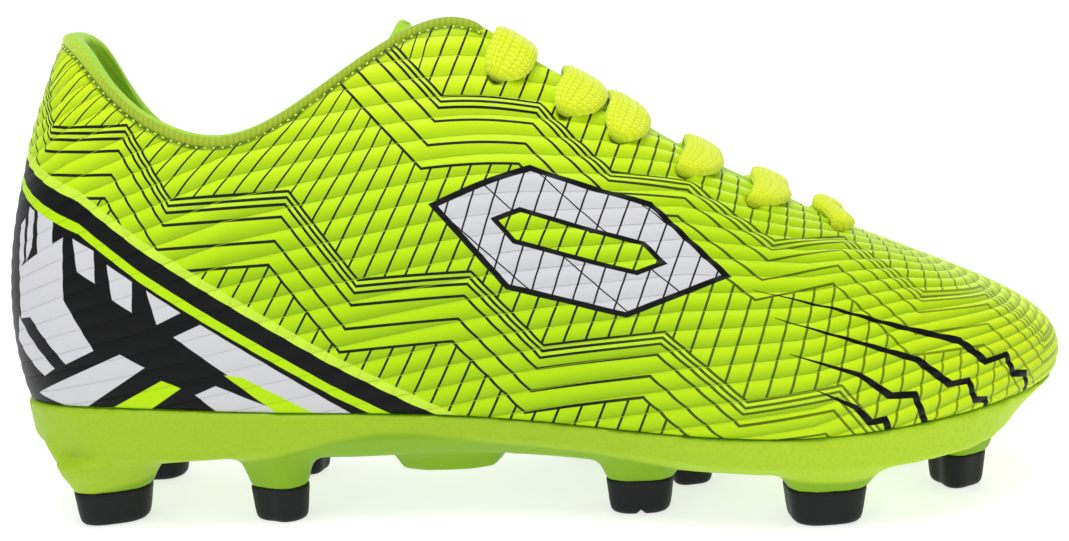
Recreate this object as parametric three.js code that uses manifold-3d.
// A junior football boot for the left foot, standing empty on its studs.
// Millimetres, +Z up, the toe towards +X and the inner side of the foot towards -Y.
import * as THREE from 'three';
import { mergeVertices } from 'three/addons/utils/BufferGeometryUtils.js';
import Module from 'manifold-3d';

// ---- Driving dimensions ----
const LAST_LENGTH = 227; // heel to toe along the feather line, where upper meets sole
const BALL_WIDTH = 79; // feather line across the ball of the foot
const COLLAR_HEIGHT = 76; // heel of the collar above its seat on the sole
const STUD_HEIGHT = 10.8; // ground to the underside of the sole at the ball
const TIP_HEIGHT = 7; // the black part of each stud
const WALL = 1.8; // synthetic upper with its lining
const COLLAR_PAD = 4.2; // the same wall where the collar is padded
const RIM = 0.7; // the sole stands this far outside the upper
const SOLE_WALL = 2.6; // side wall of the sole's tray, at its top
const SOLE_FLOOR = 3.6;
const INSOLE = 3.2;
const TONGUE = 3;
const TONGUE_CROWN = 0.8; // the tongue's middle above the throat's edges
const LACE_CLEARANCE = 0.4; // between the middle of a lace and the tongue
const LACE_WIDTH = 9.5;
const LACE_THICKNESS = 1.2;
const GAP = 0.3; // between pieces that meet
const LACE_LIFT = 0.55; // under a lace that bridges a curve
const STUD_FLARE = 1.35; // root of a stud against its tip
const STUD_SINK = 3; // depth of a stud's root in the sole

// ---- Sections of the last ----
// The table is drawn for a last of these sizes and graded to the driving dimensions.
const DRAWN = { length: 227, width: 79, height: 76 };
// Each row is one section, from the heel to the toe. Heights are above the sole's underside
// at the ball.
// foot: x, inner y, outer y, height of the feather line
// edge: x, inner y, inner height of the collar or throat edge, then x, y, height on the outer side
// swell: out and up from the feather line, then out and down from the edge
// plate: heights of the side wall's lower ridge and of the underside, and how far in each lies
const SECTIONS = [
  { foot: [-113.4, 0, 0, 15.3], edge: [-100.4, 0, 92, -100.4, 0, 92],
    swell: [6, 24, 13.2, 30], plate: [7.6, 1, 0.9, 7.5] },
  { foot: [-105.8, -17, 17.5, 15.9], edge: [-94, -12.5, 88.2, -96, 11.5, 88.4],
    swell: [5.5, 22, 10.6, 28], plate: [7, 1, 0.8, 7] },
  { foot: [-87.5, -25.5, 26, 16.4], edge: [-82.5, -20.5, 76.8, -86.5, 20, 71.5],
    swell: [3.5, 20, 5, 22], plate: [5.2, 2.4, 0.5, 6] },
  { foot: [-65, -27, 28, 15.2], edge: [-65, -23.5, 69.8, -66, 22.5, 63.7],
    swell: [2.5, 18, 4, 16], plate: [5.4, 4, 0.4, 6] },
  { foot: [-43, -26.5, 29, 14], edge: [-48, -21.5, 76.2, -48, 21, 68.7],
    swell: [2.5, 18, 5, 18], plate: [8, 2.7, 0.4, 7] },
  { foot: [-21, -26, 31, 12.8], edge: [-31.5, -17, 87.3, -31, 17, 80.2],
    swell: [3, 18, 9, 24], plate: [8, 2.9, 0.4, 7] },
  { foot: [2, -28.5, 34.5, 11], edge: [-15.5, -13.5, 92.3, -15.5, 13.5, 89.6],
    swell: [3.5, 17, 13, 26], plate: [6.5, 2.2, 0.4, 6] },
  { foot: [24, -34, 38.5, 9.4], edge: [-0.5, -11.8, 84, -0.5, 11.8, 83.2],
    swell: [4, 16, 16, 20], plate: [4, 0.8, 0.4, 5] },
  { foot: [46, -38.8, 40, 9], edge: [16.5, -11, 73.1, 16.5, 11, 73.1],
    swell: [4, 15, 18, 13], plate: [2.6, 0.2, 0.4, 5] },
  { foot: [67, -38, 37, 10.2], edge: [33.5, -10, 62.6, 33.5, 10, 62.6],
    swell: [4, 14, 20, 10], plate: [2.6, 0.9, 0.6, 5] },
  { foot: [88, -30.5, 27, 12.2], edge: [51.5, -8.4, 53.6, 51.5, 8, 53.6],
    swell: [4.5, 12.5, 22, 9.4], plate: [3.8, 3.1, 1.5, 6] },
  { foot: [104, -18, 12.5, 14], edge: [65, -5.6, 47, 65, 4.8, 47],
    swell: [5.5, 12.8, 26, 11.2], plate: [6, 4.4, 4.6, 10] },
  { foot: [110.7, -3, -3, 14.6], edge: [69.5, -0.5, 44.8, 69.5, -0.5, 44.8],
    swell: [5.2, 13.3, 30.5, 12.2], plate: [7, 5, 6.5, 12.5] },
];
const TOE = SECTIONS.length - 1; // station of the toe; the heel is station 0
const RING = 2 * TOE; // stations once round the boot

// ---- Pieces placed by section ----
const THROAT_TOP = 6; // station where collar turns into throat
const TONGUE_END = 4.9; // station of the tongue's free end
const TONGUE_ROOT = 11.3; // station where the tongue ends under the vamp
const TONGUE_TIP = [-26, 93.7]; // x and height of the middle of its free end
const EYELET_DROP = 0.15; // share of the section from throat edge to eyelet
// Laces, top to bottom: the station where each crosses the throat's edge and that of its eyelets
const LACES = [[6.76, 6.62], [7.67, 7.4], [8.34, 8.1], [9.1, 8.9], [9.93, 9.75], [10.8, 10.5]];

// Studs: name, x, y, half length, half width, turn of the plan, how three-cornered it is,
// and how far the root moves out towards the sole's edge
const STUDS = [
  ['heel_inner_rear', -93.8, -13.8, 8.1, 6.8, 10, 0.05, [0.4, -2.2]],
  ['heel_inner_front', -56.3, -16.8, 5, 5.8, -50, 0.16, [0, -2.5]],
  ['heel_outer_rear', -93, 16.8, 7.8, 6, -10, 0.05, [0.4, 1.6]],
  ['heel_outer_front', -57, 17.5, 5, 5.8, 50, 0.16, [0, 2.5]],
  ['forefoot_inner_rear', 19, -18.5, 7.1, 5.8, -8, 0.06, [0.5, -2.5]],
  ['forefoot_inner_front', 56, -28.8, 8.3, 6.4, 3, 0.03, [0.8, -1.6]],
  ['forefoot_outer_rear', 13.5, 24.5, 6.7, 5.8, 8, 0.06, [0.5, 2.5]],
  ['forefoot_outer_front', 47, 29.5, 8, 6.2, -3, 0.03, [0.8, 2]],
  ['forefoot_middle', 32, -0.5, 5, 5.2, 0, 0.08, [0, 0]],
  ['toe_inner', 89.6, -8.3, 5.6, 5.2, 15, 0.12, [3, -1]],
  ['toe_outer', 83, 13.5, 5.6, 5.2, -15, 0.12, [1, 1.5]],
];

// The bar under the arch: its stretch along the boot, across it, its depth and its sides' slope
const ARCH_BAR = { from: -38, to: -5, halfWidth: 20, middle: 2, depth: 5.6, slope: 5 };

// ---- Fineness of the facets ----
const COLUMNS = 4 * RING;
const ROWS = 10;
const STUD_SIDES = 16;
const WELD = 1e-3; // points closer than this are one

const grade = {
  x: LAST_LENGTH / DRAWN.length,
  y: BALL_WIDTH / DRAWN.width,
  z: COLLAR_HEIGHT / DRAWN.height,
};

function graded(x, y, height) {
  return new THREE.Vector3(x * grade.x, y * grade.y, STUD_HEIGHT + height * grade.z);
}

// ---- Closed smooth rings ----

// One value per station, heel, inner side, toe and back along the outer side.
function aroundBoot(valueAt) {
  const values = [];
  for (let station = 0; station < RING; station += 1) {
    const inner = station <= TOE;
    values.push(valueAt(SECTIONS[inner ? station : RING - station], inner));
  }
  return values;
}

// Control points whose closed cubic spline passes through the given points.
function splineThrough(points) {
  const size = points.length;
  let control = points.map((point) => point.clone());
  for (let pass = 0; pass < 30; pass += 1) {
    control = control.map((own, i) => {
      const before = control[(i + size - 1) % size];
      const after = control[(i + 1) % size];
      const reached = own.clone().multiplyScalar(4).add(before).add(after).divideScalar(6);
      return own.clone().add(points[i]).sub(reached);
    });
  }
  return control;
}

function onSpline(control, station) {
  const size = control.length;
  const first = Math.floor(station);
  const t = station - first;
  const weights = [
    (1 - t) ** 3,
    3 * t ** 3 - 6 * t ** 2 + 4,
    -3 * t ** 3 + 3 * t ** 2 + 3 * t + 1,
    t ** 3,
  ];
  const point = control[0].clone().multiplyScalar(0);
  weights.forEach((weight, i) => {
    point.addScaledVector(control[(first + i - 1 + 2 * size) % size], weight / 6);
  });
  return point;
}

const footPoints = aroundBoot(({ foot }, inner) => graded(foot[0], inner ? foot[1] : foot[2], foot[3]));
const edgePoints = aroundBoot(({ edge }, inner) => graded(...(inner ? edge.slice(0, 3) : edge.slice(3))));
const swells = aroundBoot(({ swell }) => swell);

// Level direction out of the boot at a station's feather line.
function outwards(station) {
  const along = footPoints[(station + 1) % RING].clone().sub(footPoints[(station + RING - 1) % RING]);
  return new THREE.Vector3(along.y, -along.x, 0).normalize();
}

const nets = [
  footPoints,
  footPoints.map((point, i) => point.clone()
    .addScaledVector(outwards(i), swells[i][0])
    .add(new THREE.Vector3(0, 0, swells[i][1] * grade.z))),
  edgePoints.map((point, i) => point.clone()
    .addScaledVector(outwards(i), swells[i][2] * grade.y)
    .sub(new THREE.Vector3(0, 0, swells[i][3] * grade.z))),
  edgePoints,
].map(splineThrough);

// The upper's outer face: station round the boot, rise from feather line (0) to edge (1).
function onUpper(station, rise) {
  const [foot, low, high, edge] = nets.map((net) => onSpline(net, station));
  const down = 1 - rise;
  return foot.multiplyScalar(down ** 3)
    .addScaledVector(low, 3 * rise * down ** 2)
    .addScaledVector(high, 3 * rise ** 2 * down)
    .addScaledVector(edge, rise ** 3);
}

function upperNormal(station, rise) {
  const step = 0.02;
  const around = onUpper(station + step, rise).sub(onUpper(station - step, rise));
  const low = Math.max(rise - step, 0);
  const up = onUpper(station, Math.min(low + 2 * step, 1)).sub(onUpper(station, low));
  return around.cross(up).normalize();
}

function offUpper(station, rise, distance) {
  return onUpper(station, rise).addScaledVector(upperNormal(station, rise), distance);
}

function smooth(from, to, value) {
  return THREE.MathUtils.smoothstep(value, from, to);
}

// The wall thickens towards the padded collar and stays thin along the throat.
function wallAt(station, rise) {
  const fromHeel = Math.min(station, RING - station);
  const collar = 1 - smooth(THROAT_TOP - 1.5, THROAT_TOP, fromHeel);
  return WALL + (COLLAR_PAD - WALL) * collar * smooth(0.45, 0.95, rise);
}

function insideUpper(station, rise, clearance) {
  return offUpper(station, rise, -wallAt(station, rise) - clearance);
}

// ---- Meshes from points ----

function meshOf(points, faces) {
  const raw = new THREE.BufferGeometry();
  raw.setAttribute('position', new THREE.Float32BufferAttribute(points.flatMap((p) => p.toArray()), 3));
  raw.setIndex(faces.flat());
  const merged = mergeVertices(raw, WELD);
  const kept = [];
  const index = merged.getIndex().array;
  for (let i = 0; i < index.length; i += 3) {
    const [a, b, c] = index.slice(i, i + 3);
    if (a !== b && b !== c && c !== a) kept.push(a, b, c);
  }
  merged.setIndex(kept);
  return facingOut(merged);
}

function facingOut(geometry) {
  const position = geometry.getAttribute('position');
  const index = Array.from(geometry.getIndex().array);
  const corner = (i) => new THREE.Vector3().fromBufferAttribute(position, index[i]);
  let volume = 0;
  for (let i = 0; i < index.length; i += 3) {
    volume += corner(i).dot(corner(i + 1).cross(corner(i + 2)));
  }
  if (volume < 0) index.reverse();
  geometry.setIndex(index);
  geometry.computeVertexNormals();
  return geometry;
}

function quad(a, b, c, d) {
  return [a, b, c, a, c, d];
}

// Rings joined one to the next; the last joins the first, so the wall is hollow.
function hollow(rings) {
  const size = rings[0].length;
  const faces = [];
  rings.forEach((ring, j) => {
    const next = (j + 1) % rings.length;
    for (let i = 0; i < size; i += 1) {
      const k = (i + 1) % size;
      faces.push(quad(j * size + i, j * size + k, next * size + k, next * size + i));
    }
  });
  return meshOf(rings.flat(), faces);
}

// Rings stacked one on the next and closed flat at both ends.
function stack(rings) {
  const size = rings[0].length;
  const faces = [];
  for (let j = 0; j + 1 < rings.length; j += 1) {
    for (let i = 0; i < size; i += 1) {
      const k = (i + 1) % size;
      faces.push(quad(j * size + i, j * size + k, (j + 1) * size + k, (j + 1) * size + i));
    }
  }
  const last = (rings.length - 1) * size;
  for (let i = 1; i + 1 < size; i += 1) {
    faces.push([0, i + 1, i], [last, last + i, last + i + 1]);
  }
  return meshOf(rings.flat(), faces);
}

// Two sheets of points, upper and lower face, joined round their edge. An end row whose sides
// meet is closed already.
function slab(top, bottom) {
  const rows = top.length;
  const across = top[0].length;
  const faces = [];
  const at = (sheet, i, j) => (sheet * rows + i) * across + j;
  for (let i = 0; i + 1 < rows; i += 1) {
    for (let j = 0; j + 1 < across; j += 1) {
      faces.push(quad(at(0, i, j), at(0, i + 1, j), at(0, i + 1, j + 1), at(0, i, j + 1)));
      faces.push(quad(at(1, i, j), at(1, i, j + 1), at(1, i + 1, j + 1), at(1, i + 1, j)));
    }
    const far = across - 1;
    faces.push(quad(at(0, i, 0), at(1, i, 0), at(1, i + 1, 0), at(0, i + 1, 0)));
    faces.push(quad(at(0, i, far), at(0, i + 1, far), at(1, i + 1, far), at(1, i, far)));
  }
  [0, rows - 1].forEach((end) => {
    if (top[end][0].distanceTo(top[end][across - 1]) < WELD) return;
    for (let j = 0; j + 1 < across; j += 1) {
      const face = quad(at(0, end, j), at(0, end, j + 1), at(1, end, j + 1), at(1, end, j));
      faces.push(end ? face.reverse() : face);
    }
  });
  return meshOf([...top, ...bottom].flat(), faces);
}

function steps(from, to, count) {
  return Array.from({ length: count + 1 }, (_, i) => from + (to - from) * i / count);
}

// ---- Booleans ----
const wasm = await Module();
wasm.setup();

function solid(geometry) {
  return new wasm.Manifold(new wasm.Mesh({
    numProp: 3,
    vertProperties: Float32Array.from(geometry.getAttribute('position').array),
    triVerts: Uint32Array.from(geometry.getIndex().array),
  }));
}

function joined(geometries) {
  const { vertProperties, triVerts } = geometries.map(solid).reduce((all, one) => all.add(one)).getMesh();
  const geometry = new THREE.BufferGeometry();
  geometry.setAttribute('position', new THREE.Float32BufferAttribute(vertProperties, 3));
  geometry.setIndex(Array.from(triVerts));
  geometry.computeVertexNormals();
  return geometry;
}

// ---- The pieces ----

function upper() {
  const stations = steps(0, RING, COLUMNS).slice(0, -1);
  const rises = steps(0, 1, ROWS);
  const outer = rises.map((rise) => stations.map((station) => onUpper(station, rise)));
  const inner = rises.map((rise) => stations.map((station) => insideUpper(station, rise, 0)));
  return hollow([...outer, ...inner.reverse()]);
}

const plateControl = splineThrough(aroundBoot(({ plate }) => new THREE.Vector4(...plate)));
const footControl = nets[0];

// A point of the feather line moved out of the boot on the level.
function offFoot(station, distance) {
  const step = 0.02;
  const along = onSpline(footControl, station + step).sub(onSpline(footControl, station - step));
  const out = new THREE.Vector3(along.y, -along.x, 0).normalize();
  return onSpline(footControl, station).addScaledVector(out, distance);
}

function atHeight(point, z) {
  return new THREE.Vector3(point.x, point.y, z);
}

// Points across the boot at one station, from the inner edge to the outer edge.
function across(station, edgeDistance, shares) {
  const inner = offFoot(station, edgeDistance);
  const outer = offFoot(RING - station, edgeDistance);
  return shares.map((share) => inner.clone().lerp(outer, share));
}

// The sole is a tray: its wall carries the upper and its floor carries the insole.
function soleSection(station) {
  const [ridge, underside, ridgeInset, undersideInset] = onSpline(plateControl, station).toArray();
  const floor = STUD_HEIGHT + underside + SOLE_FLOOR;
  const [rimIn, rimOut] = across(station, RIM, [0, 1]);
  const [lipIn, lipOut] = across(station, RIM - SOLE_WALL, [0, 1]);
  const floorPoints = across(station, RIM - SOLE_WALL - undersideInset / 2, [0, 0.5, 1]);
  const [ridgeIn, ridgeOut] = across(station, RIM - ridgeInset, [0, 1]);
  const turnInset = (ridgeInset + 2 * undersideInset) / 3;
  const [turnIn, turnOut] = across(station, RIM - turnInset, [0, 1]);
  const [under, underMiddle, underOut] = across(station, RIM - undersideInset, [0, 0.5, 1]);
  const lowered = (point) => atHeight(point, point.z - GAP);
  const at = (height) => (point) => atHeight(point, STUD_HEIGHT + height);
  const turn = underside + (ridge - underside) / 4;
  return {
    top: [
      ...[rimIn, lipIn].map(lowered),
      ...floorPoints.map((point) => atHeight(point, floor)),
      ...[lipOut, rimOut].map(lowered),
    ],
    bottom: [
      at(ridge)(ridgeIn),
      at(turn)(turnIn),
      ...[under, underMiddle, underOut].map(at(underside)),
      at(turn)(turnOut),
      at(ridge)(ridgeOut),
    ],
  };
}

function plate() {
  const sections = steps(0, TOE, COLUMNS / 2).map(soleSection);
  return slab(sections.map(({ top }) => top), sections.map(({ bottom }) => bottom));
}

// One level outline of a stud, scaled and moved from its tip's outline.
function studOutline([, x, y, length, width, turn, corners], z, scale, shift = [0, 0]) {
  const turned = THREE.MathUtils.degToRad(turn);
  return Array.from({ length: STUD_SIDES }, (_, i) => {
    const angle = (2 * Math.PI * i) / STUD_SIDES;
    const square = (Math.abs(Math.cos(angle)) ** 3 + Math.abs(Math.sin(angle)) ** 3) ** (-1 / 3);
    const reach = square * scale * (1 + corners * Math.cos(3 * angle));
    const point = new THREE.Vector3(length * reach * Math.cos(angle), width * reach * Math.sin(angle), z);
    point.applyAxisAngle(new THREE.Vector3(0, 0, 1), turned);
    return point.add(new THREE.Vector3(x * grade.x + shift[0], y * grade.y + shift[1], 0));
  });
}

function undersideAt(x) {
  let height = Infinity;
  steps(0, TOE, COLUMNS / 2).forEach((station) => {
    const near = Math.abs(onSpline(footControl, station).x - x) < LAST_LENGTH / TOE;
    if (near) height = Math.min(height, onSpline(plateControl, station).y);
  });
  return STUD_HEIGHT + height;
}

function studRoot(stud) {
  const shift = stud[7];
  const half = shift.map((move) => move / 2);
  const start = TIP_HEIGHT + GAP;
  const under = undersideAt(stud[1] * grade.x);
  const middle = (start + under) / 2;
  const inside = under + STUD_SINK;
  return stack([
    studOutline(stud, start, 1),
    studOutline(stud, middle, 1 + (STUD_FLARE - 1) * 0.3, half.map((move) => move / 2)),
    studOutline(stud, under, 1 + (STUD_FLARE - 1) * 0.75, half),
    studOutline(stud, inside, STUD_FLARE, shift),
  ]);
}

function studTip(stud) {
  return stack([
    studOutline(stud, 0, 0.8),
    studOutline(stud, 0.9, 0.9),
    studOutline(stud, TIP_HEIGHT, 1),
  ]);
}

// The low bar under the arch that stiffens the sole.
function archBar() {
  const { from, to, halfWidth, middle, depth, slope } = ARCH_BAR;
  const under = undersideAt((from + to) / 2 * grade.x);
  const outline = (z, inset) => {
    const long = (to - from) / 2 * grade.x - inset;
    const wide = halfWidth * grade.y - inset;
    return Array.from({ length: STUD_SIDES }, (_, i) => {
      const angle = (2 * Math.PI * i) / STUD_SIDES;
      const square = (Math.abs(Math.cos(angle)) ** 4 + Math.abs(Math.sin(angle)) ** 4) ** (-1 / 4);
      return new THREE.Vector3(
        (from + to) / 2 * grade.x + long * square * Math.cos(angle),
        middle + wide * square * Math.sin(angle),
        z,
      );
    });
  };
  return stack([outline(under - depth, slope), outline(under, slope / 3), outline(under + STUD_SINK, 0)]);
}

function outsole() {
  return joined([plate(), archBar(), ...STUDS.map(studRoot)]);
}

function insole() {
  const bottom = steps(0.6, TOE - 0.6, COLUMNS / 2 - 6).map((station) => {
    const [, underside, , undersideInset] = onSpline(plateControl, station).toArray();
    const inset = RIM - SOLE_WALL - undersideInset / 2 - 2 * GAP;
    const height = STUD_HEIGHT + underside + SOLE_FLOOR + GAP;
    return across(station, inset, [0, 0.5, 1]).map((point) => atHeight(point, height));
  });
  const top = bottom.map((row) => row.map((point) => atHeight(point, point.z + INSOLE)));
  return slab(top, bottom);
}

// Middle line of the tongue's upper face, level with the throat's edges plus the crown.
function tongueMiddle(station) {
  const edges = [station, RING - station].map((side) => onUpper(side, 1));
  const middle = edges[0].lerp(edges[1], 0.5);
  const crown = TONGUE_CROWN * smooth(TONGUE_END, THROAT_TOP + 1, station);
  const hidden = smooth(TONGUE_ROOT - 1.6, TONGUE_ROOT, station);
  const crowned = middle.add(new THREE.Vector3(0, 0, crown - hidden * (crown + WALL + TONGUE)));
  const free = 1 - smooth(TONGUE_END, THROAT_TOP, station);
  return crowned.lerp(graded(TONGUE_TIP[0], 0, TONGUE_TIP[1]), free);
}

// The tongue's upper face at one station: under both sides of the throat and over the middle.
function tongueRow(station) {
  const sides = [0.8, 0.9, 1].map((rise) => (
    [station, RING - station].map((side) => insideUpper(side, rise, 2 * GAP + LACE_LIFT))));
  const middle = tongueMiddle(station);
  const between = [0, 1].map((side) => {
    const edge = sides[2][side];
    return edge.clone().lerp(middle, 0.55).add(new THREE.Vector3(0, 0, (middle.z - edge.z) * 0.28));
  });
  return [
    sides[0][0], sides[1][0], sides[2][0], between[0], middle,
    between[1], sides[2][1], sides[1][1], sides[0][1],
  ];
}

function tongue() {
  const top = steps(TONGUE_END, TONGUE_ROOT, 24).map(tongueRow);
  const bottom = top.map((row, i) => row.map((point, j) => {
    const along = top[Math.min(i + 1, top.length - 1)][j].clone().sub(top[Math.max(i - 1, 0)][j]);
    const over = row[Math.min(j + 1, row.length - 1)].clone().sub(row[Math.max(j - 1, 0)]);
    return point.clone().addScaledVector(along.cross(over).normalize(), -TONGUE);
  }));
  return slab(top, bottom);
}

// A flat lace: at each step its left and right edges and the way its face looks at each.
function ribbon(path) {
  const half = LACE_THICKNESS / 2;
  const rings = path.map(({ left, right, leftFace, rightFace }) => {
    const at = (share, height) => left.clone().lerp(right, share)
      .addScaledVector(leftFace.clone().lerp(rightFace, share).normalize(), height);
    return [at(0, 0), at(0.08, -half), at(0.92, -half), at(1, 0), at(0.92, half), at(0.08, half)];
  });
  return stack(rings);
}

// The stations of a lace's left and right edges where its middle is at the given station.
function laceEdges(station, rise, outerSide) {
  const step = 0.2;
  const spacing = onUpper(station + step, rise).distanceTo(onUpper(station - step, rise)) / (2 * step);
  const half = LACE_WIDTH / 2 / spacing;
  return [station - half, station + half].map((edge) => (outerSide ? RING - edge : edge));
}

// A lace from the inner eyelet over the tongue to the outer eyelet.
function lace([row, eyelet]) {
  const lift = LACE_LIFT + LACE_THICKNESS / 2;
  const overEyestay = (outerSide) => [0, 0.5, 1].map((share) => {
    const station = eyelet + (row - eyelet) * share;
    const rise = 1 - EYELET_DROP * (1 - share);
    const [left, right] = laceEdges(station, rise, outerSide);
    return {
      left: offUpper(left, rise, lift),
      right: offUpper(right, rise, lift),
      leftFace: upperNormal(left, rise),
      rightFace: upperNormal(right, rise),
    };
  });
  const ends = [false, true].map((outerSide) => overEyestay(outerSide));
  const [near, far] = ends.map((end) => end[end.length - 1]);
  const overTongue = [0.25, 0.5, 0.75].map((share) => {
    const rise = new THREE.Vector3(0, 0, (TONGUE_CROWN + LACE_CLEARANCE) * Math.sin(Math.PI * share));
    const between = (edge) => near[edge].clone().lerp(far[edge], share);
    return {
      left: between('left').add(rise),
      right: between('right').add(rise),
      leftFace: between('leftFace').normalize(),
      rightFace: between('rightFace').normalize(),
    };
  });
  return ribbon([...ends[0], ...overTongue, ...ends[1].reverse()]);
}

// ---- Materials ----
function material(color, roughness) {
  return new THREE.MeshStandardMaterial({ color, roughness, metalness: 0 });
}

const synthetic = material('#b4f000', 0.45);
const moulded = material('#a8dc28', 0.6);
const blackTip = material('#16181a', 0.5);
const lining = material('#9adb1e', 0.9);
const laceKnit = material('#dcf53c', 0.85);

// ---- The boot ----
const boot = new THREE.Group();

function place(name, geometry, look) {
  const mesh = new THREE.Mesh(geometry, look);
  mesh.name = name;
  boot.add(mesh);
}

place('upper', upper(), synthetic);
place('outsole', outsole(), moulded);
STUDS.forEach((stud) => place(`stud_tip_${stud[0]}`, studTip(stud), blackTip));
place('insole', insole(), lining);
place('tongue', tongue(), lining);
LACES.forEach((row, i) => place(`lace_${i + 1}`, lace(row), laceKnit));

// The origin is under the middle of the boot, on the ground.
const box = new THREE.Box3().setFromObject(boot);
const middle = box.getCenter(new THREE.Vector3());
boot.position.set(-middle.x, -middle.y, -box.min.z);

export default boot;
